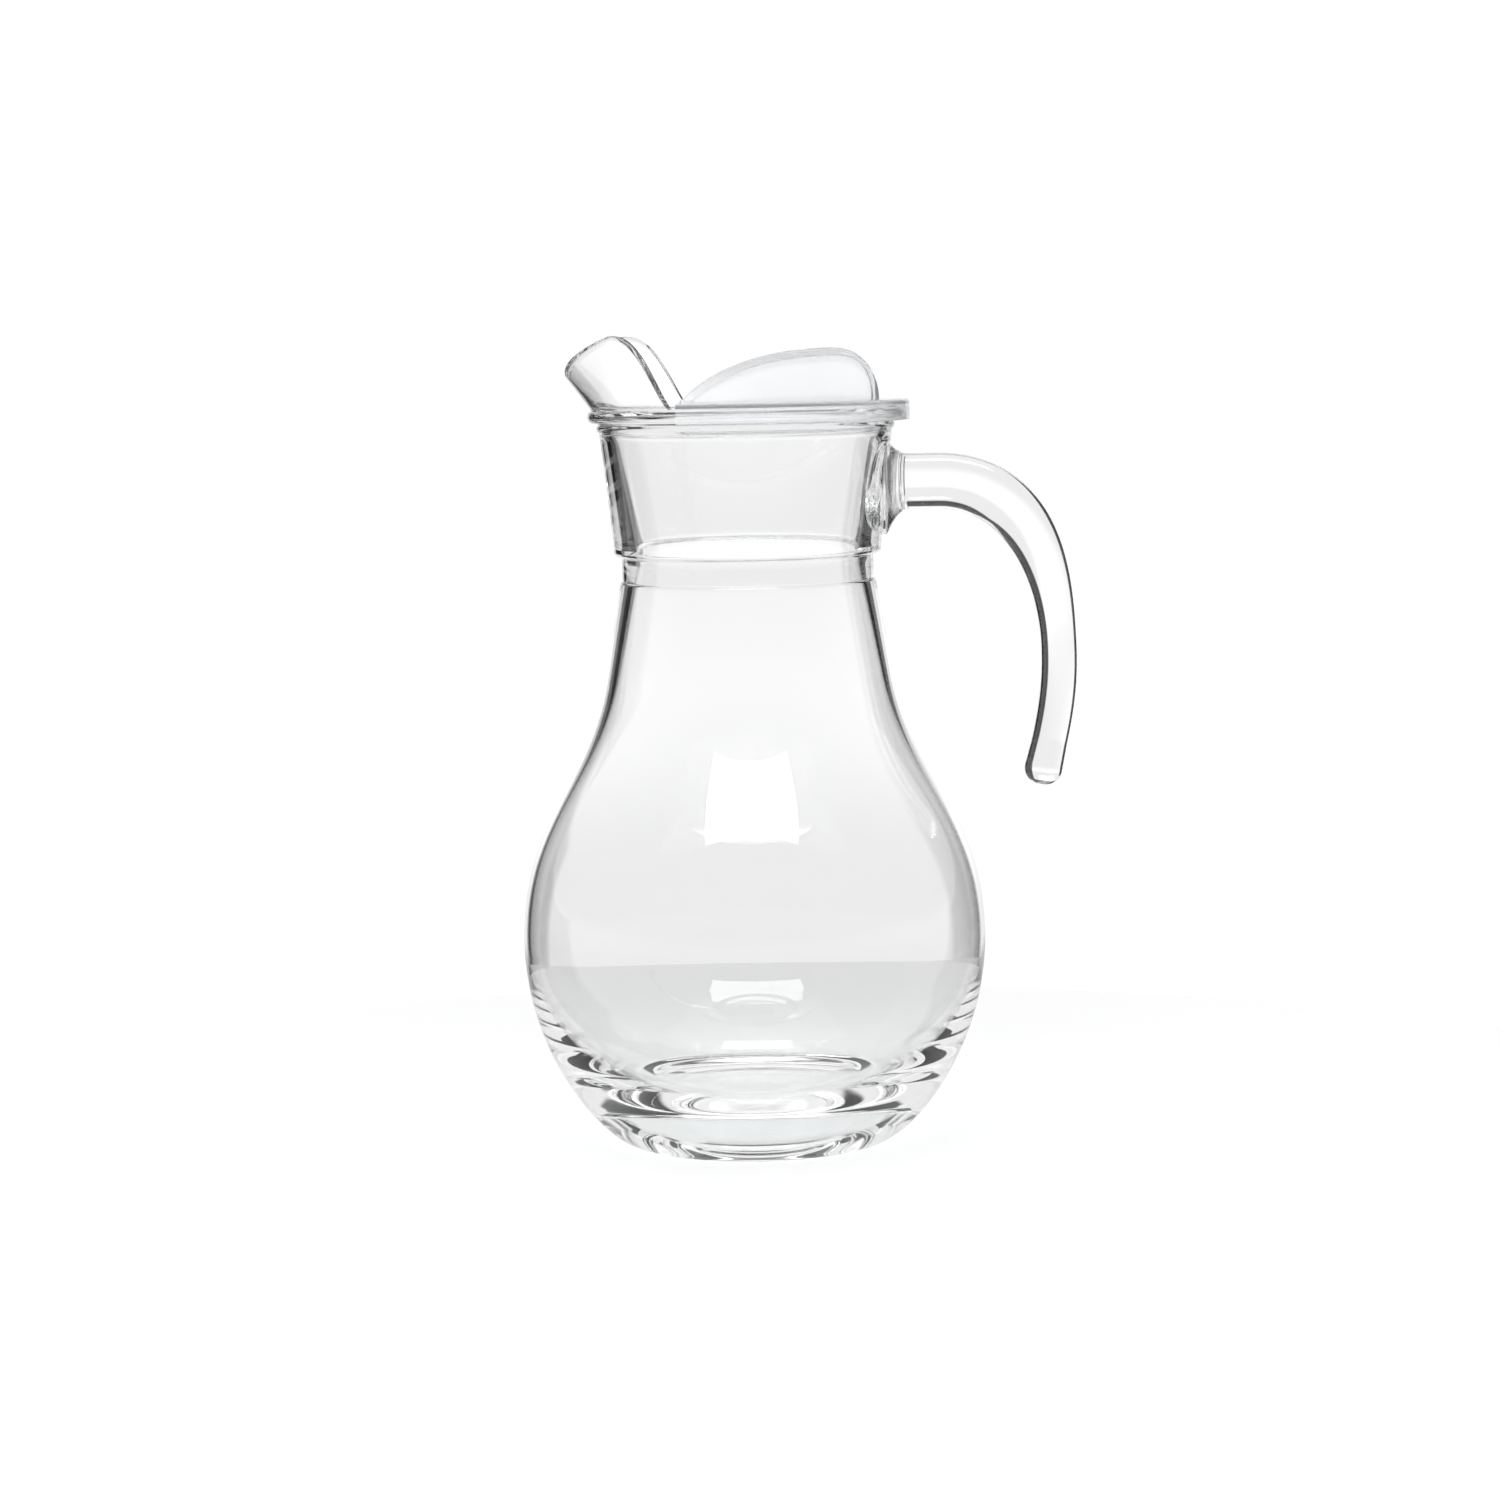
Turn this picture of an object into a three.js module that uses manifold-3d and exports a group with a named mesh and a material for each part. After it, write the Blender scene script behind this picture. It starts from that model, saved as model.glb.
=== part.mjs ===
// A glass table jug with a raised spout, a glass handle and a press-on plastic lid.
// Millimetres, +Z up. The jug's axis is the Z axis and it stands on z = 0.
// The spout points along -X and the handle along +X.
import * as THREE from "three";
import { mergeVertices } from "three/addons/utils/BufferGeometryUtils.js";
import Module from "manifold-3d";

const wasm = await Module();
wasm.setup();

// Vessel, outside: radii of the rings, and the lengths stacked up from the foot.
const FOOT_RADIUS = 43;
const BELLY_RADIUS = 71.2;
const BELLY_HEIGHT = 61;
const THROAT_RADIUS = 44;
const SHOULDER_LENGTH = 81;
const NECK_RADIUS = 39;
const NECK_LENGTH = 29.5;
const BAND_RADIUS = 38.4;
const BAND_LENGTH = 8;
const COLLAR_FOOT_RADIUS = 40.7;
const COLLAR_WAIST = 0.5;
const COLLAR_RADIUS = 44.6;
const COLLAR_LENGTH = 37.5;
const LOWER_BEAD_RADIUS = 45.7;
const LOWER_BEAD_LENGTH = 2.8;
const BEAD_RADIUS = 48;
const BEAD_LENGTH = 3.8;
const HEEL_SWELL = [10.7, 6];
const LOWER_BELLY_CURL = 29.8;
const UPPER_BELLY_CURL = 38;
const THROAT_CURL = 32;

// Vessel, inside: the floor and the wall at each level.
const FLOOR_THICKNESS = 7;
const FLOOR_RADIUS = 26;
const FLOOR_CURL = 22;
const BELLY_WALL = 1.8;
const THROAT_WALL = 3.2;
const NECK_WALL = 3.9;
const COLLAR_FOOT_WALL = 6.7;
const MOUTH_WALL = 3.4;

// Spout: a shield of glass that rises from the rim and is pulled forward into a lip.
const RIM_ROUNDING = 0.6;
const EAR_RISE = 22.5;
const LIP_DROP = 11.3;
const LIP_REACH = 8.2;
const SHIELD_WALL = 2.8;
const SHIELD_EDGE_WALL = 2.4;
const SHIELD_INSET = 1.2;
const LIP_HALF_ANGLE = 33;
const EAR_ANGLE = 31;
const SHIELD_HALF_ANGLE = 64;
const PULL_HALF_ANGLE = 38;

// Handle: one bar that leaves the collar level, bends down and ends free. Drops are below the lower bead
// and below the bar's level start, and lengths out are from the collar's foot.
const HANDLE_DROP = 16.2;
const HANDLE_STRAIGHT = 17.3;
const HANDLE_REACH = 53.8;
const HANDLE_REACH_DROP = 54.8;
const HANDLE_TIP_OUT = 47.5;
const HANDLE_TIP_DROP = 93.4;
const HANDLE_UPPER_CURL = 26;
const HANDLE_SIDE_CURL = 30;
const HANDLE_LOWER_CURL = 14;
const HANDLE_TIP_CURL = [3.2, 14];
const GRIP_DEPTH = 17;
const TAIL_DEPTH = 10.9;
const TAIL_END_SWELL = 1.2;
const TAIL_END_LENGTH = 14;
const GRIP_WIDTH = 14;
const TAIL_WIDTH = 11;
const TAPER_SPAN = [0.25, 0.66];
const SECTION_POWER = 0.62;
const ROOT_FLARE_ABOVE = 4.7;
const ROOT_FLARE_BELOW = 7.5;
const ROOT_FLARE_START = 2;
const ROOT_FLARE_LENGTH = 6.5;
const WELD_GAP = 0.3;

// Lid: a cap with a skirt outside the bead, a plug ring inside the mouth and a hollow grip.
const SKIRT_WALL = 1.6;
const SKIRT_CLEARANCE = 0.4;
const SKIRT_DEPTH = 4.9;
const LID_THICKNESS = 1.3;
const LID_EDGE_ROUNDING = 1;
const SEAT_CLEARANCE = 0.3;
const PLUG_WALL = 1.3;
const PLUG_DEPTH = 4;
const PLUG_CLEARANCE = 0.6;
const LID_FRONT_CLEARANCE = 0.3;
const LID_FRONT_BOW = 1.5;
const GRIP_RISE = 15.8;
const GRIP_BACK = 40.8;
const GRIP_CROWN = 27;
const GRIP_FRONT_CURL = [12, 13];
const GRIP_CROWN_CURL = [15, 9];
const GRIP_BACK_CURL = 8;
const GRIP_HALF_WIDTH = 7.5;
const GRIP_WIDEST = 24;
const GRIP_TAPER_CURL = 16;
const GRIP_END_CURL = 12;
const GRIP_WALL = 2.2;
const GRIP_FRONT_WALL = 3.3;

// How finely the curved surfaces are faceted.
const TURN_SEGMENTS = 72;
const CURVE_SEGMENTS = 7;
const HANDLE_STEPS = 38;
const SECTION_POINTS = 16;
const STEP_EASING = 0.08;
const TIP_FLATNESS = 0.05;

const throatHeight = BELLY_HEIGHT + SHOULDER_LENGTH;
const bandHeight = throatHeight + NECK_LENGTH;
const collarHeight = bandHeight + BAND_LENGTH;
const lowerBeadHeight = collarHeight + COLLAR_LENGTH;
const beadHeight = lowerBeadHeight + LOWER_BEAD_LENGTH;
const rimHeight = beadHeight + BEAD_LENGTH;
const boreRadius = COLLAR_FOOT_RADIUS - COLLAR_FOOT_WALL;
const mouthRadius = COLLAR_RADIUS - MOUTH_WALL;
const shieldRadius = BEAD_RADIUS - SHIELD_INSET;

const glass = new THREE.MeshStandardMaterial({ color: 0xe8eeee, roughness: 0.05, metalness: 0 });
const milkyPlastic = new THREE.MeshStandardMaterial({ color: 0xe4e6ea, roughness: 0.35, metalness: 0 });

// Geometry to solid and back, for the cuts and joins.
function solidOf(geometry) {
  geometry.deleteAttribute("normal");
  geometry.deleteAttribute("uv");
  const merged = mergeVertices(geometry, 1e-3);
  return new wasm.Manifold(
    new wasm.Mesh({
      numProp: 3,
      vertProperties: merged.attributes.position.array,
      triVerts: new Uint32Array(merged.index.array),
    }),
  );
}

function meshOf(name, solid, material) {
  const { vertProperties, triVerts } = solid.getMesh();
  const geometry = new THREE.BufferGeometry();
  geometry.setAttribute("position", new THREE.BufferAttribute(vertProperties, 3));
  geometry.setIndex(new THREE.BufferAttribute(triVerts, 1));
  geometry.computeVertexNormals();
  const mesh = new THREE.Mesh(geometry, material);
  mesh.name = name;
  return mesh;
}

// A path of (radius, height) turned about the Z axis.
function turned(path, curveSegments) {
  return new THREE.LatheGeometry(path.getPoints(curveSegments), TURN_SEGMENTS).rotateX(Math.PI / 2);
}

function moveVertices(geometry, move) {
  const position = geometry.getAttribute("position");
  const point = new THREE.Vector3();
  for (let i = 0; i < position.count; i += 1) {
    move(point.fromBufferAttribute(position, i));
    position.setXYZ(i, point.x, point.y, point.z);
  }
  return geometry;
}

// Outer wall from the centre of the foot up to the lower bead.
function outerWall(path) {
  const neckSlope = (THROAT_RADIUS - NECK_RADIUS) / NECK_LENGTH;
  path.moveTo(0, 0);
  path.lineTo(FOOT_RADIUS, 0);
  path.bezierCurveTo(
    FOOT_RADIUS + HEEL_SWELL[0],
    HEEL_SWELL[1],
    BELLY_RADIUS,
    BELLY_HEIGHT - LOWER_BELLY_CURL,
    BELLY_RADIUS,
    BELLY_HEIGHT,
  );
  path.bezierCurveTo(
    BELLY_RADIUS,
    BELLY_HEIGHT + UPPER_BELLY_CURL,
    THROAT_RADIUS + neckSlope * THROAT_CURL,
    throatHeight - THROAT_CURL,
    THROAT_RADIUS,
    throatHeight,
  );
  path.lineTo(NECK_RADIUS, bandHeight);
  path.lineTo(BAND_RADIUS, bandHeight);
  path.lineTo(BAND_RADIUS, collarHeight);
  path.lineTo(COLLAR_FOOT_RADIUS, collarHeight);
  path.quadraticCurveTo(
    (COLLAR_FOOT_RADIUS + COLLAR_RADIUS) / 2 - COLLAR_WAIST,
    collarHeight + COLLAR_LENGTH / 2,
    COLLAR_RADIUS,
    lowerBeadHeight,
  );
}

// Two beads go round the mouth. Above them the shield stands at its full rise, not yet shaped.
function beadAndShield(path) {
  const crestHeight = rimHeight + EAR_RISE;
  const edgeRadius = SHIELD_EDGE_WALL / 2;
  const shieldMiddle = shieldRadius - SHIELD_WALL / 2;
  path.lineTo(LOWER_BEAD_RADIUS, lowerBeadHeight + LOWER_BEAD_LENGTH / 3);
  path.lineTo(COLLAR_RADIUS, beadHeight);
  path.lineTo(BEAD_RADIUS, beadHeight + BEAD_LENGTH / 4);
  path.lineTo(BEAD_RADIUS, rimHeight - BEAD_LENGTH / 4);
  path.lineTo(shieldRadius, rimHeight);
  for (const share of [0.25, 0.5, 0.75]) {
    path.lineTo(shieldRadius, rimHeight + share * EAR_RISE);
  }
  path.lineTo(shieldMiddle + edgeRadius, crestHeight - edgeRadius);
  path.lineTo(shieldMiddle, crestHeight);
  path.lineTo(shieldMiddle - edgeRadius, crestHeight - edgeRadius);
  for (const share of [0.75, 0.5, 0.25]) {
    path.lineTo(shieldRadius - SHIELD_WALL, rimHeight + share * EAR_RISE);
  }
  path.lineTo(shieldRadius - SHIELD_WALL, rimHeight);
}

// Inner wall from the mouth down to the centre of the floor.
function innerWall(path) {
  const bellyInside = BELLY_RADIUS - BELLY_WALL;
  const throatInside = THROAT_RADIUS - THROAT_WALL;
  const neckInside = NECK_RADIUS - NECK_WALL;
  const neckSlope = (throatInside - neckInside) / NECK_LENGTH;
  path.lineTo(mouthRadius, beadHeight);
  path.lineTo(boreRadius, collarHeight);
  path.lineTo(neckInside, bandHeight);
  path.lineTo(throatInside, throatHeight);
  path.bezierCurveTo(
    throatInside + neckSlope * THROAT_CURL,
    throatHeight - THROAT_CURL,
    bellyInside,
    BELLY_HEIGHT + UPPER_BELLY_CURL,
    bellyInside,
    BELLY_HEIGHT,
  );
  path.bezierCurveTo(
    bellyInside,
    BELLY_HEIGHT - LOWER_BELLY_CURL + BELLY_WALL,
    FLOOR_RADIUS + FLOOR_CURL,
    FLOOR_THICKNESS,
    FLOOR_RADIUS,
    FLOOR_THICKNESS,
  );
  path.lineTo(0, FLOOR_THICKNESS);
}

// Height of the shield's edge above the rim, at an angle in degrees from the spout's middle.
function edgeRise(angle) {
  const side = THREE.MathUtils.clamp((angle - EAR_ANGLE) / (SHIELD_HALF_ANGLE - EAR_ANGLE), 0, 1);
  const middle = THREE.MathUtils.clamp(1 - angle / LIP_HALF_ANGLE, 0, 1);
  const shoulder = (1 - side ** 3) ** 1.5;
  return RIM_ROUNDING + (EAR_RISE - RIM_ROUNDING) * shoulder - LIP_DROP * middle ** 1.2;
}

function forwardPull(angle) {
  const share = Math.min(angle / PULL_HALF_ANGLE, 1);
  return LIP_REACH * Math.cos((share * Math.PI) / 2) ** 1.6;
}

// Lowers the shield to its edge line and leans it forward at the lip.
function shapeSpout(point) {
  if (point.z <= rimHeight) {
    return;
  }
  const angle = THREE.MathUtils.radToDeg(Math.abs(Math.atan2(point.y, -point.x)));
  const share = (point.z - rimHeight) / EAR_RISE;
  const radius = Math.hypot(point.x, point.y);
  const stretch = (radius + forwardPull(angle) * share) / radius;
  point.set(point.x * stretch, point.y * stretch, rimHeight + share * edgeRise(angle));
}

function jugBody() {
  const profile = new THREE.Path();
  outerWall(profile);
  beadAndShield(profile);
  innerWall(profile);
  return solidOf(moveVertices(turned(profile, CURVE_SEGMENTS), shapeSpout));
}

// The handle's centre line, in the plane of the spout.
function handleLine() {
  const line = new THREE.CurvePath();
  const level = lowerBeadHeight - HANDLE_DROP;
  const point = (out, drop) => new THREE.Vector3(COLLAR_FOOT_RADIUS + out, 0, level - drop);
  const bendStart = point(HANDLE_STRAIGHT, 0);
  const side = point(HANDLE_REACH, HANDLE_REACH_DROP);
  line.add(new THREE.LineCurve3(point(0, 0), bendStart));
  line.add(
    new THREE.CubicBezierCurve3(
      bendStart,
      point(HANDLE_STRAIGHT + HANDLE_UPPER_CURL, 0),
      point(HANDLE_REACH, HANDLE_REACH_DROP - HANDLE_SIDE_CURL),
      side,
    ),
  );
  line.add(
    new THREE.CubicBezierCurve3(
      side,
      point(HANDLE_REACH, HANDLE_REACH_DROP + HANDLE_LOWER_CURL),
      point(HANDLE_TIP_OUT + HANDLE_TIP_CURL[0], HANDLE_TIP_DROP - HANDLE_TIP_CURL[1]),
      point(HANDLE_TIP_OUT, HANDLE_TIP_DROP),
    ),
  );
  return line;
}

// A rounded bar of unit size, one unit long, which the centre line then carries.
function unitBar() {
  const section = new THREE.Shape();
  for (let i = 0; i < SECTION_POINTS; i += 1) {
    const turn = (i / SECTION_POINTS) * 2 * Math.PI;
    const across = Math.sign(Math.cos(turn)) * Math.abs(Math.cos(turn)) ** SECTION_POWER;
    const deep = Math.sign(Math.sin(turn)) * Math.abs(Math.sin(turn)) ** SECTION_POWER;
    if (i === 0) {
      section.moveTo(across / 2, deep / 2);
    } else {
      section.lineTo(across / 2, deep / 2);
    }
  }
  return new THREE.ExtrudeGeometry(section, { depth: 1, steps: HANDLE_STEPS, bevelEnabled: false });
}

// A solid of the collar's outside with the weld gap added, as a tool for trimming the handle's root.
function collarTool() {
  const profile = new THREE.Path();
  profile.moveTo(0, bandHeight);
  profile.lineTo(COLLAR_FOOT_RADIUS + WELD_GAP, bandHeight);
  profile.lineTo(COLLAR_FOOT_RADIUS + WELD_GAP, collarHeight);
  profile.quadraticCurveTo(
    (COLLAR_FOOT_RADIUS + COLLAR_RADIUS) / 2 - COLLAR_WAIST + WELD_GAP,
    collarHeight + COLLAR_LENGTH / 2,
    COLLAR_RADIUS + WELD_GAP,
    lowerBeadHeight,
  );
  profile.lineTo(BEAD_RADIUS + WELD_GAP, lowerBeadHeight);
  profile.lineTo(BEAD_RADIUS + WELD_GAP, rimHeight);
  profile.lineTo(0, rimHeight);
  return solidOf(turned(profile, CURVE_SEGMENTS));
}

// Steps are closer together at the bar's two ends, where it flares and rounds off.
function easedStep(share) {
  return share - STEP_EASING * Math.sin(2 * Math.PI * share);
}

function handle() {
  const line = handleLine();
  const length = line.getLength();
  const bar = moveVertices(unitBar(), (point) => {
    const along = easedStep(point.z);
    const centre = line.getPointAt(along);
    const tangent = line.getTangentAt(along);
    const taper = THREE.MathUtils.smoothstep(along, ...TAPER_SPAN);
    const fromRoot = Math.max(along * length - ROOT_FLARE_START, 0);
    const flareShare = Math.max(1 - fromRoot / ROOT_FLARE_LENGTH, 0) ** 2;
    const flare = flareShare * (point.y > 0 ? ROOT_FLARE_ABOVE : ROOT_FLARE_BELOW);
    const toTip = (1 - along) * length;
    const swell = TAIL_END_SWELL * Math.max(1 - toTip / TAIL_END_LENGTH, 0);
    const cap = 1 - Math.min(toTip / (TAIL_DEPTH / 2), 1);
    const rounding = Math.sqrt(Math.max(1 - cap ** 2, TIP_FLATNESS));
    const depth = THREE.MathUtils.lerp(GRIP_DEPTH, TAIL_DEPTH, taper) + swell + 2 * flare;
    const sideFlare = flareShare * ROOT_FLARE_ABOVE;
    const width = THREE.MathUtils.lerp(GRIP_WIDTH, TAIL_WIDTH, taper) + swell + 2 * sideFlare;
    const deep = point.y * depth * rounding;
    point.set(centre.x - tangent.z * deep, point.x * width * rounding, centre.z + tangent.x * deep);
  });
  return solidOf(bar).subtract(collarTool());
}

// Lid cap: plate, rounded edge and skirt, with the plug ring below the plate.
const lidUnderside = rimHeight + RIM_ROUNDING + SEAT_CLEARANCE;
const lidTop = lidUnderside + LID_THICKNESS;
const skirtInside = BEAD_RADIUS + SKIRT_CLEARANCE;
const facetAngle = 360 / TURN_SEGMENTS;
const shieldEndAngle = (Math.floor(SHIELD_HALF_ANGLE / facetAngle) + 1) * facetAngle;
const shieldEnd = new THREE.Vector2(shieldRadius - SHIELD_WALL, 0);
shieldEnd.rotateAround(new THREE.Vector2(), THREE.MathUtils.degToRad(shieldEndAngle));
const lidFront = LID_FRONT_CLEARANCE - shieldEnd.x;
const gripFront = lidFront - LID_FRONT_BOW;

function capSolid() {
  const skirtOutside = skirtInside + SKIRT_WALL;
  const skirtBottom = lidUnderside - SKIRT_DEPTH;
  const plugBottom = lidUnderside - PLUG_DEPTH;
  const mouthSlope = (mouthRadius - boreRadius) / (beadHeight - collarHeight);
  const plugOutside = mouthRadius - PLUG_CLEARANCE + mouthSlope * (plugBottom - beadHeight);
  const profile = new THREE.Path();
  profile.moveTo(0, lidUnderside);
  profile.lineTo(plugOutside - PLUG_WALL, lidUnderside);
  profile.lineTo(plugOutside - PLUG_WALL, plugBottom);
  profile.lineTo(plugOutside, plugBottom);
  profile.lineTo(plugOutside, lidUnderside);
  profile.lineTo(skirtInside, lidUnderside);
  profile.lineTo(skirtInside, skirtBottom);
  profile.lineTo(skirtOutside, skirtBottom);
  profile.lineTo(skirtOutside, lidTop - LID_EDGE_ROUNDING);
  profile.quadraticCurveTo(skirtOutside, lidTop, skirtOutside - LID_EDGE_ROUNDING, lidTop);
  profile.lineTo(0, lidTop);
  return solidOf(turned(profile, CURVE_SEGMENTS));
}

// The grip's outline from the side, (x, height), drawn in by a wall at the front and one elsewhere.
function gripSide(frontWall, wall, bottom) {
  const front = gripFront + frontWall;
  const back = GRIP_BACK - wall;
  const crown = lidTop + GRIP_RISE - wall;
  const side = new THREE.Shape();
  side.moveTo(front, bottom);
  side.lineTo(front, lidTop);
  side.bezierCurveTo(
    front + GRIP_FRONT_CURL[0],
    lidTop + GRIP_FRONT_CURL[1] - wall,
    GRIP_CROWN - GRIP_CROWN_CURL[0],
    crown,
    GRIP_CROWN,
    crown,
  );
  side.bezierCurveTo(GRIP_CROWN + GRIP_CROWN_CURL[1], crown, back, lidTop + GRIP_BACK_CURL, back, lidTop);
  side.lineTo(back, bottom);
  return side;
}

// The grip's outline from above: a drop shape, narrow at the front.
function gripPlan(frontWall, wall) {
  const front = gripFront + frontWall;
  const back = GRIP_BACK - wall;
  const half = GRIP_HALF_WIDTH - wall;
  const taperStart = GRIP_WIDEST - GRIP_TAPER_CURL;
  const endStart = GRIP_WIDEST + GRIP_END_CURL;
  const plan = new THREE.Shape();
  plan.moveTo(front, 0);
  plan.bezierCurveTo(front, -half / 2, taperStart, -half, GRIP_WIDEST, -half);
  plan.bezierCurveTo(endStart, -half, back, -half / 2, back, 0);
  plan.bezierCurveTo(back, half / 2, endStart, half, GRIP_WIDEST, half);
  plan.bezierCurveTo(taperStart, half, front, half / 2, front, 0);
  return plan;
}

function extruded(shape, depth, curveSegments) {
  return new THREE.ExtrudeGeometry(shape, { depth, bevelEnabled: false, curveSegments });
}

function gripSolid(frontWall, wall, bottom) {
  const width = 4 * GRIP_HALF_WIDTH;
  const side = extruded(gripSide(frontWall, wall, bottom), width, CURVE_SEGMENTS);
  side.rotateX(Math.PI / 2).translate(0, width / 2, 0);
  const plan = extruded(gripPlan(frontWall, wall), 2 * GRIP_RISE, CURVE_SEGMENTS).translate(0, 0, bottom);
  return solidOf(side).intersect(solidOf(plan));
}

// Everything in front of the lid's front edge, which bows forward between the shield's two ends.
function frontTool() {
  const half = skirtInside + 2 * SKIRT_WALL;
  const outline = new THREE.Shape();
  outline.moveTo(lidFront, -half);
  outline.lineTo(lidFront, -shieldEnd.y);
  outline.quadraticCurveTo(lidFront - 2 * LID_FRONT_BOW, 0, lidFront, shieldEnd.y);
  outline.lineTo(lidFront, half);
  outline.lineTo(-2 * half, half);
  outline.lineTo(-2 * half, -half);
  return solidOf(extruded(outline, 2 * GRIP_RISE, CURVE_SEGMENTS).translate(0, 0, lidTop - GRIP_RISE));
}

function lid() {
  const cavity = gripSolid(GRIP_FRONT_WALL, GRIP_WALL, lidUnderside - PLUG_DEPTH);
  const cap = capSolid().subtract(frontTool());
  return cap.add(gripSolid(0, 0, lidUnderside)).subtract(cavity);
}

const jug = new THREE.Group();
jug.add(meshOf("jug_body", jugBody(), glass));
jug.add(meshOf("handle", handle(), glass));
jug.add(meshOf("lid", lid(), milkyPlastic));

export default jug;
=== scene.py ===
import math

import bmesh
import bpy
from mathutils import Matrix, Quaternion, Vector


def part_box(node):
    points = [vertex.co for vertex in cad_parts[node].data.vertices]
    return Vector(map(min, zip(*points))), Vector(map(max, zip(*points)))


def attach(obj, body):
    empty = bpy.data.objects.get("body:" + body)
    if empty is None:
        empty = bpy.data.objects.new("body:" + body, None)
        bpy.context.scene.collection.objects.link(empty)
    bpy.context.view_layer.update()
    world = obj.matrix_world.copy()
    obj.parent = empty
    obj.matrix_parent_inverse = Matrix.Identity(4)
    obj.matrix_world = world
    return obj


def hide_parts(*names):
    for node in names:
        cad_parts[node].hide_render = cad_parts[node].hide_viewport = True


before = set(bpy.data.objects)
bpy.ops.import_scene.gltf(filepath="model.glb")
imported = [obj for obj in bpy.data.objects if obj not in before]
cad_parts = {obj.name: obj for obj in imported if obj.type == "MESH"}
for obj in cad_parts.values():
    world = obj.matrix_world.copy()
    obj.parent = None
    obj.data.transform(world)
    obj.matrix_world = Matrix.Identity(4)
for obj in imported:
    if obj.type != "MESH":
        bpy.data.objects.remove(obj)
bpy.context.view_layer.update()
scene = bpy.context.scene
mm = 0.001

# ---------------------------------------------------------------- the viewpoint
# One fixed camera at table height, on the side where the spout is left and the handle is right.
# It stands a metre away and looks a little down, with a slight lean.
jug_low, jug_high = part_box("jug_body")
EYE = Vector((44.6 * mm, -1022.3 * mm, 239.8 * mm))
AIM = Vector((0, 0, 117.8 * mm))
LEAN = math.radians(1.07)

camera_data = bpy.data.cameras.new("view")
camera_data.lens = 80.4
camera_data.sensor_width = 36
camera_data.shift_x = -0.00095
camera_data.shift_y = 0.0028
camera_data.clip_start = 0.05
camera = bpy.data.objects.new("view", camera_data)
scene.collection.objects.link(camera)
camera.location = EYE
camera.rotation_mode = "QUATERNION"
camera.rotation_quaternion = (AIM - EYE).to_track_quat("-Z", "Y") @ Quaternion((0, 0, 1), -LEAN)
scene.camera = camera
scene.view_settings.view_transform = "Standard"
scene.cycles.max_bounces = 24
scene.cycles.transmission_bounces = 24
scene.cycles.glossy_bounces = 24
scene.cycles.transparent_max_bounces = 24


# ---------------------------------------------------------------- the surroundings
# A white room, brightest level with the eye, with three dark flags behind the jug: left, right and above.
# Clear glass has no colour of its own: it shows the flags as its dark edges and the room as its body.
class Value:
    """One number or colour in a node tree. Sums and products of numbers add Math nodes."""

    def __init__(self, board, socket):
        self.board = board
        self.socket = socket

    def math(self, operation, *others):
        inputs = dict(enumerate((self, *others)))
        return self.board.add("ShaderNodeMath", {"operation": operation}, inputs)

    def __add__(self, other):
        return self.math("ADD", other)

    def __sub__(self, other):
        return self.math("SUBTRACT", other)

    def __rsub__(self, other):
        return self.board.value(other).math("SUBTRACT", self)

    def __mul__(self, other):
        return self.math("MULTIPLY", other)

    __radd__ = __add__
    __rmul__ = __mul__

    def eased(self, start, end, low=0.0, high=1.0):
        """Goes smoothly from low to high as this value goes from start to end."""
        ease = {"interpolation_type": "SMOOTHSTEP"}
        inputs = {"Value": self, "From Min": start, "From Max": end, "To Min": low, "To Max": high}
        return self.board.add("ShaderNodeMapRange", ease, inputs)


class Board:
    """The node tree of one material or of the world."""

    def __init__(self, owner):
        owner.use_nodes = True
        self.tree = owner.node_tree
        self.tree.nodes.clear()

    def value(self, number):
        node = self.tree.nodes.new("ShaderNodeValue")
        node.outputs[0].default_value = number
        return Value(self, node.outputs[0])

    def add(self, kind, settings=None, inputs=None, output=0):
        node = self.tree.nodes.new(kind)
        for name, setting in (settings or {}).items():
            setattr(node, name, setting)
        for name, given in (inputs or {}).items():
            if isinstance(given, Value):
                self.tree.links.new(given.socket, node.inputs[name])
            else:
                node.inputs[name].default_value = given
        return Value(self, node.outputs[output]) if node.outputs else None


# Each flag: its bearing and half width seen from the jug, then its lower and upper edge, in degrees.
FLAGS = ((-41, 17, -50, 16), (43, 19, -50, 34), (8, 26, 24, 50))
FLAG_EDGE = math.radians(4)
FLAG_LIGHT = 0.02
WALL_FOOT = math.radians(-9)
WALL_TOP = math.radians(-0.5)
LOW_LIGHT = 0.855
HIGH_LIGHT = 1.08
CEILING_START = math.radians(0.5)
CEILING_FULL = math.radians(5)
CEILING_LIGHT = 0.86
SEEN_LIGHT = 1.02

world = bpy.data.worlds.new("studio")
scene.world = world
sky = Board(world)
ray = sky.add("ShaderNodeTexCoord", output="Generated")
east = sky.add("ShaderNodeSeparateXYZ", inputs={0: ray}, output=0)
north = sky.add("ShaderNodeSeparateXYZ", inputs={0: ray}, output=1)
height = sky.add("ShaderNodeSeparateXYZ", inputs={0: ray}, output=2).math("ARCSINE")
bearing = east.math("ARCTAN2", north)
light = height.eased(WALL_FOOT, WALL_TOP, LOW_LIGHT, HIGH_LIGHT)
light = light * height.eased(CEILING_START, CEILING_FULL, 1, CEILING_LIGHT / HIGH_LIGHT)
for middle, half_width, foot, top in FLAGS:
    turn = (bearing + (3 * math.pi - math.radians(middle))).math("FLOORED_MODULO", 2 * math.pi)
    away = (turn - math.pi).math("ABSOLUTE")
    edge = math.radians(half_width)
    across = away.eased(edge - FLAG_EDGE / 2, edge + FLAG_EDGE / 2, 1 - FLAG_LIGHT, 0)
    over_foot = height.eased(math.radians(foot), math.radians(foot) + FLAG_EDGE)
    under_top = height.eased(math.radians(top) - FLAG_EDGE, math.radians(top), 1, 0)
    light = light * (1 - across * over_foot * under_top)
seen = sky.add("ShaderNodeLightPath", output="Is Camera Ray")
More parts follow.
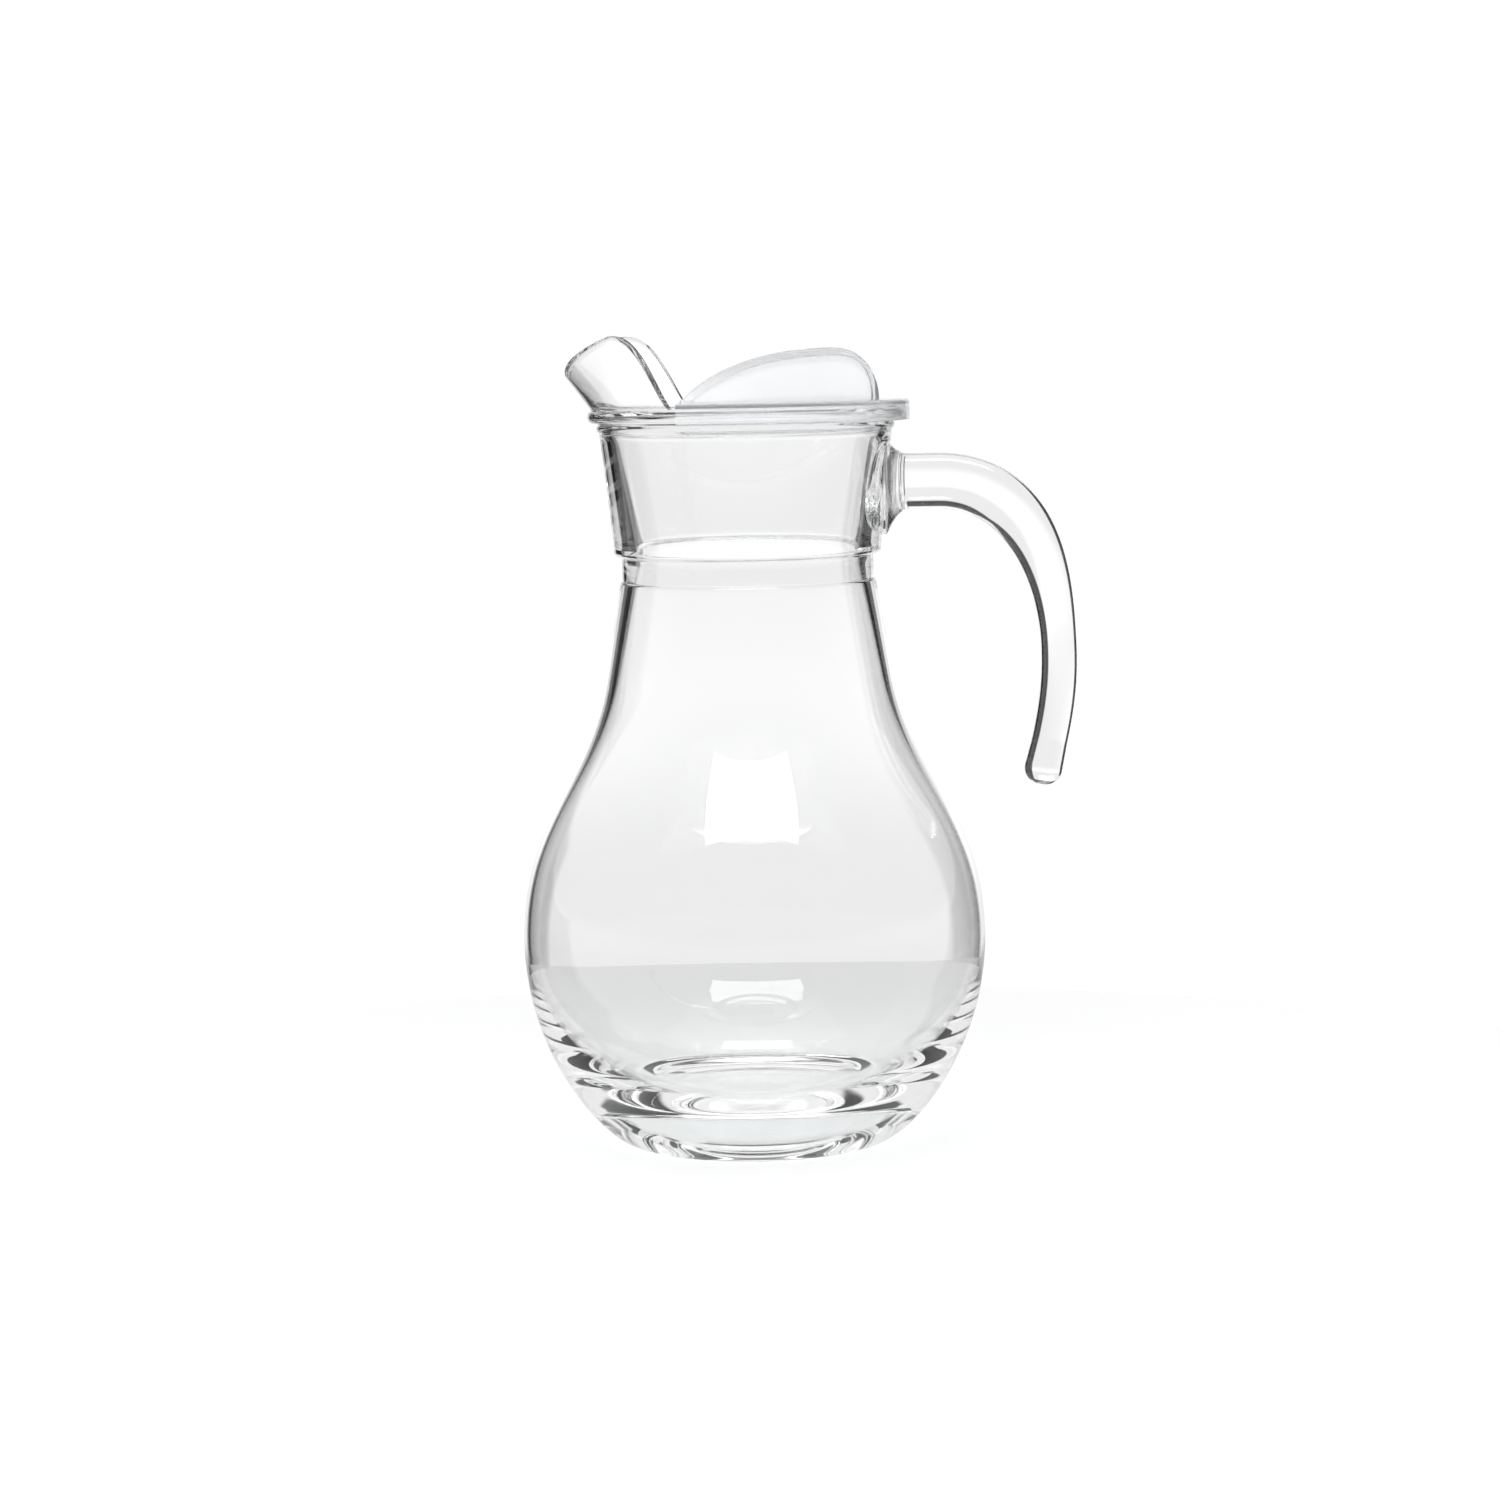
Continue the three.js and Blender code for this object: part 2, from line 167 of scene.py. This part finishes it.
light = light * (1 - seen) + SEEN_LIGHT * seen
background = sky.add("ShaderNodeBackground", inputs={"Color": (1, 1, 1, 1), "Strength": light})
sky.add("ShaderNodeOutputWorld", inputs={"Surface": background})


def softbox(name, place, aim, size, watts):
    lamp = bpy.data.lights.new(name, "AREA")
    lamp.shape = "RECTANGLE"
    lamp.size, lamp.size_y = size
    lamp.energy = watts
    box = bpy.data.objects.new(name, lamp)
    scene.collection.objects.link(box)
    box.location = place
    box.rotation_mode = "QUATERNION"
    box.rotation_quaternion = (Vector(aim) - Vector(place)).to_track_quat("-Z", "Y")


softbox("front softbox", (0.02, -0.66, 1.09), (0, 0, 0.09), (0.98, 0.43), 8.6)
softbox("top softbox", (0, 0.1, 1.6), (0, 0, 0), (1.6, 1.6), 4)


# ---------------------------------------------------------------- the table
# A matt white board just under the jug's foot, further out in front than behind.
# It glows a little to the eye, so that it stays white with the jug's soft shadow on it.
def finished(name, bm, material, smooth=True):
    mesh = bpy.data.meshes.new(name)
    bm.to_mesh(mesh)
    bm.free()
    for face in mesh.polygons:
        face.use_smooth = smooth
    mesh.materials.append(material)
    piece = bpy.data.objects.new(name, mesh)
    scene.collection.objects.link(piece)
    return piece


TABLE_RADIUS = 0.4
TABLE_SHIFT = -0.16
TABLE_DROP = 0.3 * mm
TABLE_GLOW = 0.26

table_paint = bpy.data.materials.new("table_paint")
board = Board(table_paint)
place = board.add("ShaderNodeTexCoord", output="Object")
grain = board.add("ShaderNodeTexNoise", inputs={"Vector": place, "Scale": 900.0, "Detail": 3.0})
paint = board.add(
    "ShaderNodeBsdfPrincipled",
    inputs={"Base Color": (0.6, 0.6, 0.6, 1), "Roughness": grain.eased(0.2, 0.8, 0.7, 0.85)},
)
glow = board.add("ShaderNodeEmission", inputs={"Color": (1, 1, 1, 1), "Strength": TABLE_GLOW})
lit = board.add("ShaderNodeAddShader", inputs={0: paint, 1: glow})
seen = board.add("ShaderNodeLightPath", output="Is Camera Ray")
surface = board.add("ShaderNodeMixShader", inputs={0: seen, 1: paint, 2: lit})
board.add("ShaderNodeOutputMaterial", inputs={"Surface": surface})

bm = bmesh.new()
bmesh.ops.create_circle(bm, cap_ends=True, segments=96, radius=TABLE_RADIUS)
bmesh.ops.translate(bm, verts=bm.verts, vec=(0, TABLE_SHIFT, -TABLE_DROP))
table = finished("table", bm, table_paint, smooth=False)


# ---------------------------------------------------------------- the vessel
# One blown soda-lime glass body: foot, belly, neck, sunk neck band, collar, two rim beads and spout.
# It is blown in a mould, and its rim and spout are fire-polished.
def curve(points, steps):
    """A Bezier curve through a list of (radius, height) control points, without its first point."""
    found = []
    for step in range(1, steps + 1):
        share = step / steps
        level = [Vector(point) for point in points]
        while len(level) > 1:
            level = [a.lerp(b, share) for a, b in zip(level, level[1:])]
        found.append(level[0])
    return found


def turned(outline, rounded, steps):
    """A closed body: an outline of (radius, height) with some corners rounded, spun about the jug's axis."""
    bm = bmesh.new()
    chain = [bm.verts.new((radius, 0, height)) for radius, height in outline]
    for pair in zip(chain, chain[1:]):
        bm.edges.new(pair)
    corners = [(chain[index], radius) for index, radius in rounded.items()]
    for corner, radius in corners:
        bmesh.ops.bevel(
            bm,
            geom=[corner],
            offset=radius,
            offset_type="OFFSET",
            segments=6,
            profile=0.5,
            affect="VERTICES",
            material=-1,
        )
    bmesh.ops.spin(
        bm,
        geom=bm.verts[:] + bm.edges[:],
        cent=(0, 0, 0),
        axis=(0, 0, 1),
        angle=2 * math.pi,
        steps=steps,
        use_merge=True,
    )
    bmesh.ops.remove_doubles(bm, verts=bm.verts, dist=SAME_PLACE)
    bmesh.ops.recalc_face_normals(bm, faces=bm.faces)
    return bm


FOOT_RADIUS = 43 * mm
BELLY_RADIUS = jug_high.y
BELLY_HEIGHT = 61 * mm
THROAT_RADIUS = 44 * mm
THROAT_HEIGHT = 142 * mm
NECK_RADIUS = 39 * mm
BAND_HEIGHT = 171.5 * mm
BAND_RADIUS = 38.4 * mm
COLLAR_HEIGHT = 179.5 * mm
COLLAR_FOOT_RADIUS = 40.7 * mm
COLLAR_RADIUS = 44.6 * mm
LOWER_BEAD_HEIGHT = 217 * mm
LOWER_BEAD_RADIUS = 45.7 * mm
BEAD_HEIGHT = 219.8 * mm
BEAD_RADIUS = 48 * mm
RIM_HEIGHT = 223.6 * mm
FLOOR_HEIGHT = 7 * mm
PUSH_UP = 1.6 * mm
BELLY_WALL = 1.8 * mm
THROAT_WALL = 3.2 * mm
NECK_WALL = 3.9 * mm
BORE_RADIUS = 34 * mm
MOUTH_RADIUS = 41.2 * mm
EAR_RISE = 22.5 * mm
LIP_DROP = 11.3 * mm
LIP_REACH = 8.2 * mm
SHIELD_RADIUS = BEAD_RADIUS - 1.2 * mm
SHIELD_WALL = 2.8 * mm
RIM_ROUNDING = 0.6 * mm
LIP_HALF_ANGLE = math.radians(33)
EAR_ANGLE = math.radians(31)
SHIELD_HALF_ANGLE = math.radians(64)
PULL_HALF_ANGLE = math.radians(38)
HEEL_SWELL = Vector((10.7 * mm, 6 * mm))
LOWER_BELLY_CURL = 29.8 * mm
UPPER_BELLY_CURL = 38 * mm
THROAT_CURL = 32 * mm
INNER_BELLY_CURL = 28 * mm
FLOOR_CURL_RADIUS = 50 * mm
FLOOR_RADIUS = 14 * mm
FOOT_RING = 4 * mm
PUSH_UP_SLOPE = 8 * mm
COLLAR_WAIST = 0.5 * mm
SAME_PLACE = 0.001 * mm
TURNS = 288
LOWER_ROWS = 44
UPPER_ROWS = 52
COLLAR_ROWS = 16
SHIELD_ROWS = 16
FLOOR_ROWS = 6

neck_slope = (THROAT_RADIUS - NECK_RADIUS) / (BAND_HEIGHT - THROAT_HEIGHT)
bore_slope = (THROAT_RADIUS - THROAT_WALL - NECK_RADIUS + NECK_WALL) / (BAND_HEIGHT - THROAT_HEIGHT)
crest = RIM_HEIGHT + EAR_RISE
belly_inside = BELLY_RADIUS - BELLY_WALL
throat_inside = THROAT_RADIUS - THROAT_WALL

ring_inside = FOOT_RADIUS - FOOT_RING
outline = [Vector((0, PUSH_UP)), Vector((ring_inside - PUSH_UP_SLOPE, PUSH_UP)), Vector((ring_inside, 0))]
outline.append(Vector((FOOT_RADIUS, 0)))
outline += curve(
    [
        (FOOT_RADIUS, 0),
        (FOOT_RADIUS + HEEL_SWELL.x, HEEL_SWELL.y),
        (BELLY_RADIUS, BELLY_HEIGHT - LOWER_BELLY_CURL),
        (BELLY_RADIUS, BELLY_HEIGHT),
    ],
    LOWER_ROWS,
)
outline += curve(
    [
        (BELLY_RADIUS, BELLY_HEIGHT),
        (BELLY_RADIUS, BELLY_HEIGHT + UPPER_BELLY_CURL),
        (THROAT_RADIUS + neck_slope * THROAT_CURL, THROAT_HEIGHT - THROAT_CURL),
        (THROAT_RADIUS, THROAT_HEIGHT),
    ],
    UPPER_ROWS,
)
rounded = {2: 3 * mm, 3: 1.2 * mm}


def corner(radius, height, rounding=0.0):
    """Adds a corner to the outline, to be rounded off by the given amount."""
    if rounding:
        rounded[len(outline)] = rounding
    outline.append(Vector((radius, height)))


corner(NECK_RADIUS, BAND_HEIGHT, 0.5 * mm)
corner(BAND_RADIUS, BAND_HEIGHT + 0.4 * mm, 0.4 * mm)
corner(BAND_RADIUS, COLLAR_HEIGHT, 0.6 * mm)
corner(COLLAR_FOOT_RADIUS, COLLAR_HEIGHT + 0.3 * mm, 0.9 * mm)
outline += curve(
    [
        (COLLAR_FOOT_RADIUS, COLLAR_HEIGHT),
        ((COLLAR_FOOT_RADIUS + COLLAR_RADIUS) / 2 - COLLAR_WAIST, (COLLAR_HEIGHT + LOWER_BEAD_HEIGHT) / 2),
        (COLLAR_RADIUS, LOWER_BEAD_HEIGHT),
    ],
    COLLAR_ROWS,
)
corner(LOWER_BEAD_RADIUS, LOWER_BEAD_HEIGHT + 1.2 * mm, 0.8 * mm)
corner(COLLAR_RADIUS, BEAD_HEIGHT - 0.2 * mm, 0.5 * mm)
corner(BEAD_RADIUS, BEAD_HEIGHT + 0.5 * mm, 1.3 * mm)
corner(BEAD_RADIUS, RIM_HEIGHT - 0.3 * mm, 1.2 * mm)
corner(SHIELD_RADIUS, RIM_HEIGHT)
for row in range(1, SHIELD_ROWS):
    corner(SHIELD_RADIUS, RIM_HEIGHT + EAR_RISE * row / SHIELD_ROWS)
corner(SHIELD_RADIUS, crest, 1.3 * mm)
corner(SHIELD_RADIUS - SHIELD_WALL, crest, 1.3 * mm)
for row in range(SHIELD_ROWS - 1, 0, -1):
    corner(SHIELD_RADIUS - SHIELD_WALL, RIM_HEIGHT + EAR_RISE * row / SHIELD_ROWS)
corner(SHIELD_RADIUS - SHIELD_WALL, RIM_HEIGHT, 1 * mm)
corner(MOUTH_RADIUS, BEAD_HEIGHT, 2 * mm)
corner(BORE_RADIUS, COLLAR_HEIGHT, 2.5 * mm)
corner(NECK_RADIUS - NECK_WALL, BAND_HEIGHT, 3 * mm)
outline.append(Vector((throat_inside, THROAT_HEIGHT)))
outline += curve(
    [
        (throat_inside, THROAT_HEIGHT),
        (throat_inside + bore_slope * THROAT_CURL, THROAT_HEIGHT - THROAT_CURL),
        (belly_inside, BELLY_HEIGHT + UPPER_BELLY_CURL),
        (belly_inside, BELLY_HEIGHT),
    ],
    UPPER_ROWS,
)
outline += curve(
    [
        (belly_inside, BELLY_HEIGHT),
        (belly_inside, BELLY_HEIGHT - INNER_BELLY_CURL),
        (FLOOR_CURL_RADIUS, FLOOR_HEIGHT),
        (FLOOR_RADIUS, FLOOR_HEIGHT),
    ],
    LOWER_ROWS,
)
outline += curve([(FLOOR_RADIUS, FLOOR_HEIGHT), (0, FLOOR_HEIGHT)], FLOOR_ROWS)


def edge_rise(angle):
    """Height of the spout's edge above the rim, at an angle from the spout's middle."""
    side = min(max((angle - EAR_ANGLE) / (SHIELD_HALF_ANGLE - EAR_ANGLE), 0), 1)
    middle = max(1 - angle / LIP_HALF_ANGLE, 0)
    shoulder = (1 - side**3) ** 1.5
    return RIM_ROUNDING + (EAR_RISE - RIM_ROUNDING) * shoulder - LIP_DROP * middle**1.2


def forward_pull(angle):
    share = min(angle / PULL_HALF_ANGLE, 1)
    return LIP_REACH * math.cos(share * math.pi / 2) ** 1.6


bm = turned(outline, rounded, TURNS)
for vert in bm.verts:
    if vert.co.z > RIM_HEIGHT:
        angle = abs(math.atan2(vert.co.y, -vert.co.x))
        share = (vert.co.z - RIM_HEIGHT) / EAR_RISE
        radius = math.hypot(vert.co.x, vert.co.y)
        stretch = (radius + forward_pull(angle) * share) / radius
        vert.co.x *= stretch
        vert.co.y *= stretch
        vert.co.z = RIM_HEIGHT + share * edge_rise(angle)


def glass(name, ripple):
    """Clear glass with the faint ripple that moulding and fire-polishing leave, and a few dull specks."""
    material = bpy.data.materials.new(name)
    board = Board(material)
    place = board.add("ShaderNodeTexCoord", output="Object")
    waves = board.add("ShaderNodeTexNoise", inputs={"Vector": place, "Scale": 26.0, "Detail": 1.0})
    specks = board.add("ShaderNodeTexNoise", inputs={"Vector": place, "Scale": 700.0, "Detail": 2.0})
    bump = board.add(
        "ShaderNodeBump",
        inputs={"Strength": ripple, "Distance": 0.4 * mm, "Height": waves},
    )
    clear = board.add(
        "ShaderNodeBsdfPrincipled",
        inputs={
            "Base Color": (0.989, 0.991, 0.99, 1),
            "Roughness": specks.eased(0.62, 0.8, 0.0, 0.05),
            "IOR": 1.5,
            "Transmission Weight": 1.0,
            "Normal": bump,
        },
    )
    open_air = board.add("ShaderNodeBsdfTransparent", inputs={"Color": (0.93, 0.94, 0.94, 1)})
    shadow = board.add("ShaderNodeLightPath", output="Is Shadow Ray")
    surface = board.add("ShaderNodeMixShader", inputs={0: shadow, 1: clear, 2: open_air})
    board.add("ShaderNodeOutputMaterial", inputs={"Surface": surface})
    return material


blown_glass = glass("blown_glass", 0.02)
vessel = finished("vessel", bm, blown_glass)
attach(vessel, "jug")
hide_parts("jug_body")

# ---------------------------------------------------------------- the handle
# One gob of hot glass, pressed to shape and stuck to the collar at its upper end only.
# Its lower end hangs free, so the fingers slip in from below.
HANDLE_HEIGHT = 200.8 * mm
STRAIGHT_END = 58 * mm
REACH = Vector((94.5 * mm, 146 * mm))
TIP = Vector((88.2 * mm, 107.4 * mm))
GRIP_DEPTH = 17 * mm
TAIL_DEPTH = 10.9 * mm
GRIP_WIDTH = 14 * mm
TAIL_WIDTH = 11 * mm
WELD_DEPTH = 0.4 * mm
UPPER_CURL = Vector((26 * mm, 0))
SIDE_CURL = Vector((0, 30 * mm))
LOWER_CURL = Vector((0, 14 * mm))
TIP_CURL = Vector((3.2 * mm, 14 * mm))
TAPER_SPAN = (0.25, 0.66)
FLARE_START = 2 * mm
FLARE_LENGTH = 6.5 * mm
FLARE_ABOVE = 4.7 * mm
FLARE_BELOW = 7.5 * mm
TAIL_SWELL = 1.2 * mm
TAIL_SWELL_LENGTH = 14 * mm
WELD_REACH = 8 * mm
OUTER_POWER = 0.5
INNER_POWER = 0.85
ROOT_SHARE = 0.06
STRAIGHT_STEPS = 24
BEND_STEPS = 90
TAIL_STEPS = 60
HANDLE_SIDES = 56
HANDLE_ROWS = 260


def collar_radius(height):
    """The collar's outside radius at a height, drawn in a little between its two ends."""
    share = (height - COLLAR_HEIGHT) / (LOWER_BEAD_HEIGHT - COLLAR_HEIGHT)
    bow = COLLAR_WAIST * 2 * share * (1 - share)
    return COLLAR_FOOT_RADIUS + share * (COLLAR_RADIUS - COLLAR_FOOT_RADIUS) - bow


start = Vector((COLLAR_FOOT_RADIUS, HANDLE_HEIGHT))
bend = Vector((STRAIGHT_END, HANDLE_HEIGHT))
line = [start] + curve([start, bend], STRAIGHT_STEPS)
line += curve([bend, bend + UPPER_CURL, REACH + SIDE_CURL, REACH], BEND_STEPS)
line += curve([REACH, REACH - LOWER_CURL, TIP + TIP_CURL, TIP], TAIL_STEPS)
length = sum((b - a).length for a, b in zip(line, line[1:]))


def smooth_step(value, low, high):
    share = min(max((value - low) / (high - low), 0), 1)
    return share * share * (3 - 2 * share)


def wrapped(sides, rows, place_of):
    """A closed skin: a grid whose columns run round the piece and whose rows run along it."""
    bm = bmesh.new()
    bmesh.ops.create_grid(bm, x_segments=sides, y_segments=rows, size=0.5)
    for vert in bm.verts:
        vert.co = place_of((vert.co.x + 0.5) * 2 * math.pi, vert.co.y + 0.5)
    bmesh.ops.remove_doubles(bm, verts=bm.verts, dist=0.002 * mm)
    bmesh.ops.dissolve_degenerate(bm, edges=bm.edges, dist=SAME_PLACE)
    bmesh.ops.recalc_face_normals(bm, faces=bm.faces)
    return bm


def squared(turn, power):
    """A point of a unit circle, pushed out towards the corners of a square."""
    across = math.copysign(abs(math.cos(turn)) ** power, math.cos(turn))
    deep = math.copysign(abs(math.sin(turn)) ** power, math.sin(turn))
    return across, deep


def handle_point(turn, along):
    """A point of the handle's skin. The first share of the rows closes its root, the last rows its tip."""
    opening = min(along / ROOT_SHARE, 1)
    travelled = length * max(along - ROOT_SHARE, 0) / (1 - ROOT_SHARE)
    walked = 0.0
    for a, b in zip(line, line[1:]):
        step = (b - a).length
        if walked + step >= travelled:
            break
        walked += step
    centre = a.lerp(b, min((travelled - walked) / step, 1))
    tangent = (b - a).normalized()
    taper = smooth_step(travelled / length, *TAPER_SPAN)
    flare = max(1 - max(travelled - FLARE_START, 0) / FLARE_LENGTH, 0) ** 2
    to_tip = length - travelled
    swell = TAIL_SWELL * max(1 - to_tip / TAIL_SWELL_LENGTH, 0)
    cap = 1 - min(to_tip / (TAIL_DEPTH / 2), 1)
    scale = math.sqrt(max(1 - cap**2, 0)) * opening
    across, deep = squared(turn, OUTER_POWER if turn < math.pi else INNER_POWER)
    spread = FLARE_ABOVE if deep > 0 else FLARE_BELOW
    depth = (GRIP_DEPTH + taper * (TAIL_DEPTH - GRIP_DEPTH) + swell) / 2 + flare * spread
    width = (GRIP_WIDTH + taper * (TAIL_WIDTH - GRIP_WIDTH) + swell) / 2 + flare * FLARE_ABOVE
    x = centre.x - tangent.y * deep * depth * scale
    y = across * width * scale
    z = centre.y + tangent.x * deep * depth * scale
    weld = math.sqrt(collar_radius(z) ** 2 - y**2) - WELD_DEPTH
    if travelled < WELD_REACH:
        x = max(x, weld)
    return Vector((x, y, z))


pressed_glass = glass("pressed_glass", 0.05)
handle = finished("handle_bar", wrapped(HANDLE_SIDES, HANDLE_ROWS, handle_point), pressed_glass)
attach(handle, "jug")
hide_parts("handle")

# ---------------------------------------------------------------- the lid
# One milky polyethylene moulding: a cap that presses over the upper bead, a ring that plugs the mouth,
# and a hollow grip. Its front edge stops short of the spout.
lid_low, lid_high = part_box("lid")
PLATE_THICKNESS = 1.3 * mm
SEAT_CLEARANCE = 0.3 * mm
SKIRT_CLEARANCE = 0.4 * mm
SKIRT_DEPTH = 4.9 * mm
PLUG_DEPTH = 4 * mm
PLUG_CLEARANCE = 0.6 * mm
PLUG_WALL = 1.3 * mm
PLUG_DRAFT = 0.3 * mm
LID_UNDERSIDE = RIM_HEIGHT + RIM_ROUNDING + SEAT_CLEARANCE
LID_TOP = LID_UNDERSIDE + PLATE_THICKNESS
SKIRT_INSIDE = BEAD_RADIUS + SKIRT_CLEARANCE
SKIRT_OUTSIDE = lid_high.y
SKIRT_BOTTOM = LID_UNDERSIDE - SKIRT_DEPTH
PLUG_BOTTOM = LID_UNDERSIDE - PLUG_DEPTH
PLUG_OUTSIDE = MOUTH_RADIUS - PLUG_CLEARANCE
PLUG_INSIDE = PLUG_OUTSIDE - PLUG_WALL
FRONT_BOW = 1.5 * mm
FRONT_EDGE = lid_low.x + FRONT_BOW
FRONT_HALF_WIDTH = 39.5 * mm
GRIP_RISE = 15.8 * mm
GRIP_BACK = 40.8 * mm
GRIP_CROWN = 27 * mm
GRIP_WIDEST = 24 * mm
GRIP_HALF_WIDTH = 7.5 * mm
GRIP_WALL = 2.2 * mm
GRIP_FRONT_WALL = 3.3 * mm
GRIP_ROOT = 0.4 * mm
GRIP_SQUARENESS = 0.3
FRONT_CURL = Vector((12 * mm, 13 * mm))
CROWN_CURL = (15 * mm, 9 * mm)
BACK_CURL = 8 * mm
WIDEST_CURL = (16 * mm, 12 * mm)
GRIP_STEPS = 60
GRIP_SIDES = 64
GRIP_ROWS = 140
CAP_TURNS = 180
MILK_TINT = (0.66, 0.665, 0.672, 1)
MILK_DENSITY = 100.0


def cap_mesh():
    outline = [
        Vector((0, LID_UNDERSIDE)),
        Vector((PLUG_INSIDE, LID_UNDERSIDE)),
        Vector((PLUG_INSIDE, PLUG_BOTTOM)),
        Vector((PLUG_OUTSIDE - PLUG_DRAFT, PLUG_BOTTOM)),
        Vector((PLUG_OUTSIDE, LID_UNDERSIDE)),
        Vector((SKIRT_INSIDE, LID_UNDERSIDE)),
        Vector((SKIRT_INSIDE, SKIRT_BOTTOM)),
        Vector((SKIRT_OUTSIDE, SKIRT_BOTTOM)),
        Vector((SKIRT_OUTSIDE, LID_TOP)),
        Vector((0, LID_TOP)),
    ]
    soft = 0.5 * mm
    rounded = {1: 0.4 * mm, 2: soft, 3: soft, 4: 0.4 * mm, 5: 0.4 * mm, 6: 0.3 * mm, 7: soft, 8: 1.1 * mm}
    bm = turned(outline, rounded, CAP_TURNS)
    bmesh.ops.bisect_plane(
        bm,
        geom=bm.verts[:] + bm.edges[:] + bm.faces[:],
        dist=SAME_PLACE,
        plane_co=(FRONT_EDGE, 0, 0),
        plane_no=(-1, 0, 0),
        clear_outer=True,
    )
    for vert in bm.verts:
        if vert.co.x < FRONT_EDGE + 0.01 * mm:
            across = min(abs(vert.co.y) / FRONT_HALF_WIDTH, 1)
            vert.co.x -= FRONT_BOW * (1 - across**2)
    bmesh.ops.holes_fill(bm, edges=[edge for edge in bm.edges if edge.is_boundary])
    bmesh.ops.recalc_face_normals(bm, faces=bm.faces)
    return bm


def grip_outline(wall, front_wall):
    """Height and half width of the grip along its length, drawn in by its wall."""
    front = lid_low.x + front_wall
    back = GRIP_BACK - wall
    crown = LID_TOP + GRIP_RISE - wall
    half = GRIP_HALF_WIDTH - wall
    rise = curve(
        [
            (front, LID_TOP),
            (front + FRONT_CURL.x, LID_TOP + FRONT_CURL.y - wall),
            (GRIP_CROWN - CROWN_CURL[0], crown),
            (GRIP_CROWN, crown),
        ],
        GRIP_STEPS,
    )
    rise += curve(
        [
            (GRIP_CROWN, crown),
            (GRIP_CROWN + CROWN_CURL[1], crown),
            (back, LID_TOP + BACK_CURL),
            (back, LID_TOP),
        ],
        GRIP_STEPS,
    )
    swell = curve(
        [(front, 0), (front, half / 2), (GRIP_WIDEST - WIDEST_CURL[0], half), (GRIP_WIDEST, half)],
        GRIP_STEPS,
    )
    swell += curve(
        [(GRIP_WIDEST, half), (GRIP_WIDEST + WIDEST_CURL[1], half), (back, half / 2), (back, 0)],
        GRIP_STEPS,
    )
    return front, back, rise, swell


def read_off(outline, x):
    """The second number of the outline where its first number reaches x."""
    for a, b in zip(outline, outline[1:]):
        if b.x >= x:
            return a.y + (b.y - a.y) * min(max((x - a.x) / max(b.x - a.x, 1e-9), 0), 1)
    return outline[-1].y


def grip_mesh(wall, front_wall, bottom):
    front, back, rise, swell = grip_outline(wall, front_wall)

    def grip_point(turn, along):
        x = front + (back - front) * (1 - math.cos(math.pi * along)) / 2
        across, deep = squared(turn, GRIP_SQUARENESS)
        top = read_off(rise, x)
        half_height = (top - bottom) / 2
        return Vector((x, across * read_off(swell, x), bottom + half_height * (1 + deep)))

    bm = wrapped(GRIP_SIDES, GRIP_ROWS, grip_point)
    bmesh.ops.holes_fill(bm, edges=[edge for edge in bm.edges if edge.is_boundary])
    bmesh.ops.recalc_face_normals(bm, faces=bm.faces)
    return bm


def milky(name):
    """Translucent polyethylene: light greys on its way through the walls. The skin has a satin gloss."""
    material = bpy.data.materials.new(name)
    board = Board(material)
    place = board.add("ShaderNodeTexCoord", output="Object")
    cloud = board.add("ShaderNodeTexNoise", inputs={"Vector": place, "Scale": 60.0, "Detail": 3.0})
    skin = board.add("ShaderNodeTexNoise", inputs={"Vector": place, "Scale": 1500.0, "Detail": 2.0})
    shades = {0: cloud, 6: (0.93, 0.935, 0.94, 1), 7: (0.97, 0.972, 0.975, 1)}
    tint = board.add("ShaderNodeMix", {"data_type": "RGBA"}, shades, output=2)
    bump = board.add("ShaderNodeBump", inputs={"Strength": 0.02, "Distance": 0.02 * mm, "Height": skin})
    plastic = board.add(
        "ShaderNodeBsdfPrincipled",
        inputs={
            "Base Color": tint,
            "Roughness": skin.eased(0.3, 0.7, 0.06, 0.1),
            "IOR": 1.2,
            "Transmission Weight": 0.85,
            "Normal": bump,
        },
    )
    open_air = board.add("ShaderNodeBsdfTransparent", inputs={"Color": (0.75, 0.76, 0.78, 1)})
    shadow = board.add("ShaderNodeLightPath", output="Is Shadow Ray")
    surface = board.add("ShaderNodeMixShader", inputs={0: shadow, 1: plastic, 2: open_air})
    milk = board.add("ShaderNodeVolumeAbsorption", inputs={"Color": MILK_TINT, "Density": MILK_DENSITY})
    board.add("ShaderNodeOutputMaterial", inputs={"Surface": surface, "Volume": milk})
    return material


milky_plastic = milky("milky_plastic")
lid = finished("lid_cap", cap_mesh(), milky_plastic)
outer_grip = finished("outer_grip", grip_mesh(0, 0, LID_UNDERSIDE + GRIP_ROOT), milky_plastic)
grip_hollow = finished("grip_hollow", grip_mesh(GRIP_WALL, GRIP_FRONT_WALL, PLUG_BOTTOM), milky_plastic)
for tool, operation in ((outer_grip, "UNION"), (grip_hollow, "DIFFERENCE")):
    modifier = lid.modifiers.new(operation, "BOOLEAN")
    modifier.object = tool
    modifier.operation = operation
    modifier.solver = "EXACT"
joined = bpy.data.meshes.new_from_object(lid.evaluated_get(bpy.context.evaluated_depsgraph_get()))
lid.modifiers.clear()
lid.data = joined
for tool in (outer_grip, grip_hollow):
    bpy.data.objects.remove(tool)
for face in lid.data.polygons:
    face.use_smooth = True
lid.data.set_sharp_from_angle(angle=math.radians(35))
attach(lid, "lid")
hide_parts("lid")
